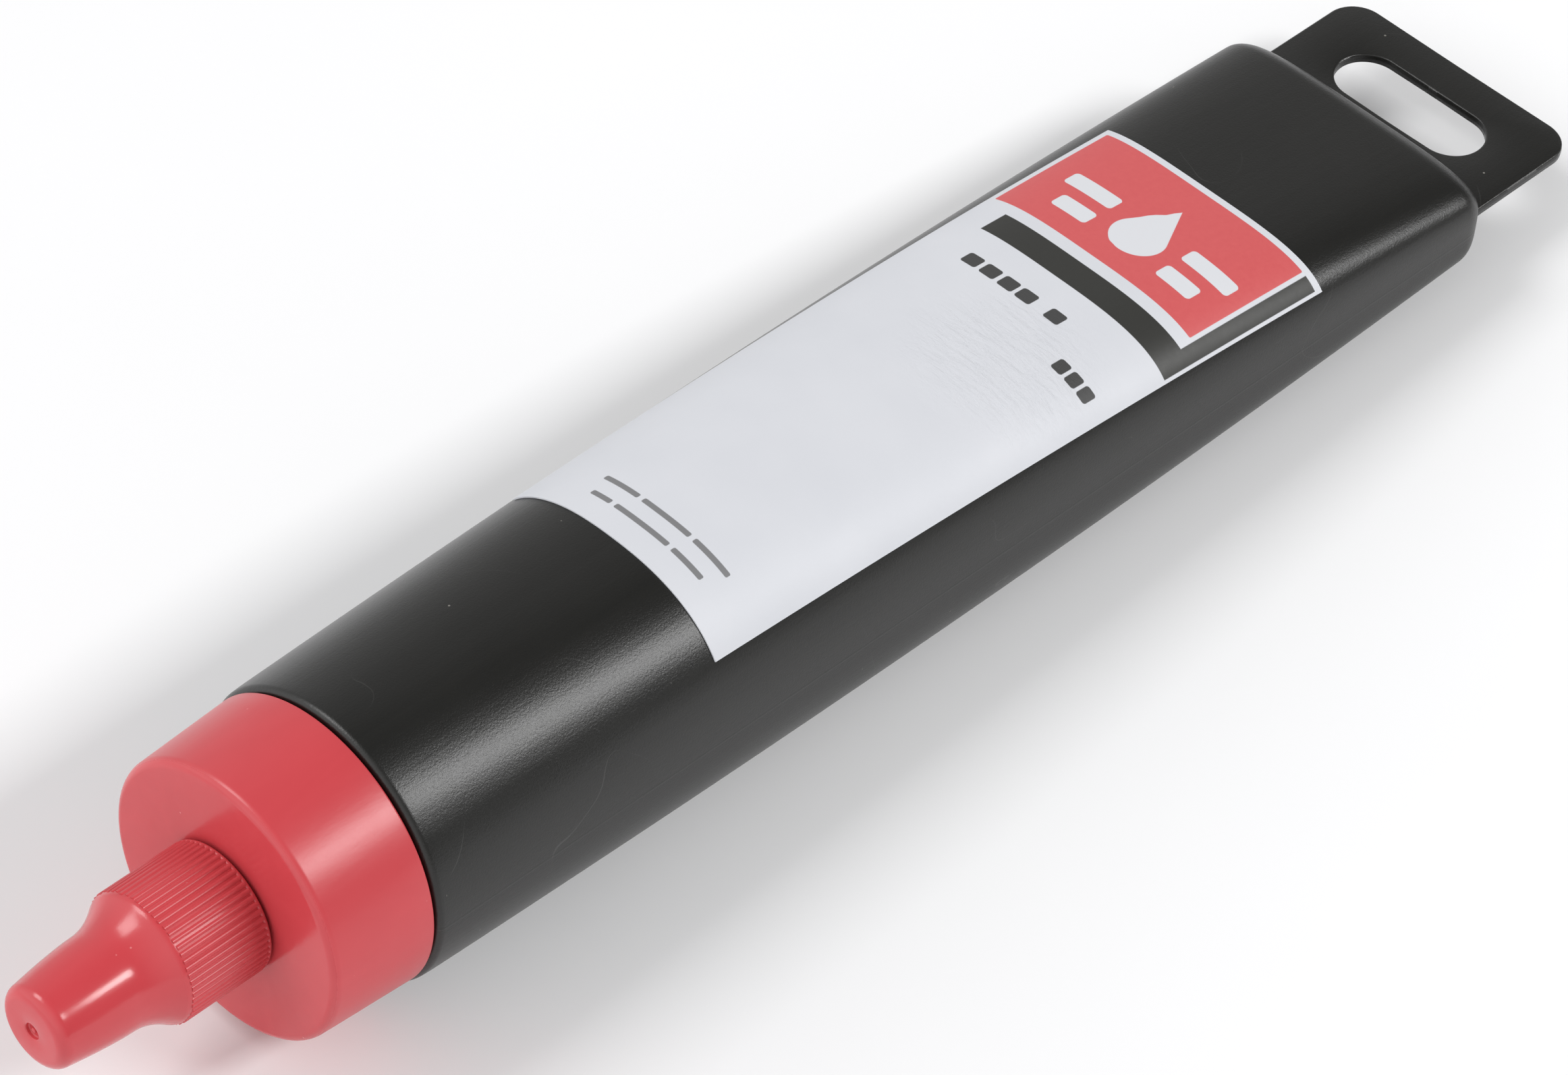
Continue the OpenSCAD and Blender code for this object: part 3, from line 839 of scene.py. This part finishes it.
# ---------------------------------------------------------------------------
# Floor, light and camera
# ---------------------------------------------------------------------------
REST_X = 64.0
FLOOR_REACH = 4.0
LAMP_TARGET = Vector((0.0, 0.0, 0.012))
LAMP_DISTANCE = 1.5
ROOM_DIM, ROOM_BEHIND, ROOM_NOZZLE_SIDE = 0.1, 0.65, 1.3
CAMERA_AT = (-0.36715, -0.30805, 0.48586)
AZIMUTH, ELEVATION, ROLL = math.radians(-49.76), math.radians(44.65), math.radians(5.82)
FOCAL_LENGTH, SENSOR_WIDTH = 152.8, 36.0


def floor_board():
    """The bottle lies on its convex underside: the board touches it REST_X behind the seam."""
    mesh = bpy.data.meshes.new("studio_floor")
    s, step = REST_X / BODY_LEN, 0.001
    slope = (half_h(s + step) - half_h(s - step)) / (2 * step * BODY_LEN)
    touch = placed(REST_X, 0, -half_h(s))
    corners = [(touch.x + dx * FLOOR_REACH, dy * FLOOR_REACH, touch.z - slope * dx * FLOOR_REACH)
               for dx, dy in ((-1, -1), (1, -1), (1, 1), (-1, 1))]
    mesh.from_pydata(corners, [], [[0, 1, 2, 3]])
    mesh.materials.append(studio_floor().material)
    board = bpy.data.objects.new("studio_floor", mesh)
    bpy.context.scene.collection.objects.link(board)


def softbox(name, direction, size, power):
    """A rectangular lamp that faces the target, its first side along the bottle."""
    lamp = bpy.data.lights.new(name, "AREA")
    lamp.shape = "RECTANGLE"
    lamp.size, lamp.size_y = size
    lamp.energy = power
    holder = bpy.data.objects.new(name, lamp)
    back = Vector(direction).normalized()
    side = Vector((1, 0, 0))
    side = (side - back * side.dot(back)).normalized()
    holder.location = LAMP_TARGET + back * LAMP_DISTANCE
    holder.rotation_mode = "QUATERNION"
    holder.rotation_quaternion = Matrix((side, back.cross(side), back)).transposed().to_quaternion()
    bpy.context.scene.collection.objects.link(holder)


def studio_room():
    """A dim room, paler behind the object and to its nozzle side."""
    world = bpy.data.worlds.new("studio_room")
    bpy.context.scene.world = world
    world.use_nodes = True
    w = Weave(world.node_tree)
    x, y, _ = w.parts(w.node("ShaderNodeTexCoord"))
    background = world.node_tree.nodes["Background"]
    background.inputs["Color"].default_value = (1.0, 1.0, 1.0, 1.0)
    behind, nozzle_side = y.math("MAXIMUM", 0.0), (-x).math("MAXIMUM", 0.0)
    w.feed(background.inputs["Strength"],
           behind * ROOM_BEHIND + nozzle_side * ROOM_NOZZLE_SIDE + ROOM_DIM)


def studio_camera():
    """The camera, looking along its azimuth and elevation, rolled about its own axis."""
    lens = bpy.data.cameras.new("studio_camera")
    lens.lens, lens.sensor_width = FOCAL_LENGTH, SENSOR_WIDTH
    lens.clip_start, lens.clip_end = 0.05, 20.0
    camera = bpy.data.objects.new("studio_camera", lens)
    back = Vector((math.sin(AZIMUTH) * math.cos(ELEVATION),
                   -math.cos(AZIMUTH) * math.cos(ELEVATION), math.sin(ELEVATION)))
    camera.location = CAMERA_AT
    camera.rotation_mode = "QUATERNION"
    camera.rotation_quaternion = ((-back).to_track_quat("-Z", "Y").to_matrix()
                                  @ Matrix.Rotation(ROLL, 3, "Z")).to_quaternion()
    bpy.context.scene.collection.objects.link(camera)
    bpy.context.scene.camera = camera


floor_board()
softbox("right_softbox", (0.441, -0.625, 0.645), (0.93, 0.28), 15.0)
softbox("left_softbox", (-0.4, 0.45, 0.8), (0.6, 0.6), 6.9)
studio_room()
studio_camera()
bpy.context.scene.view_settings.view_transform = "Standard"
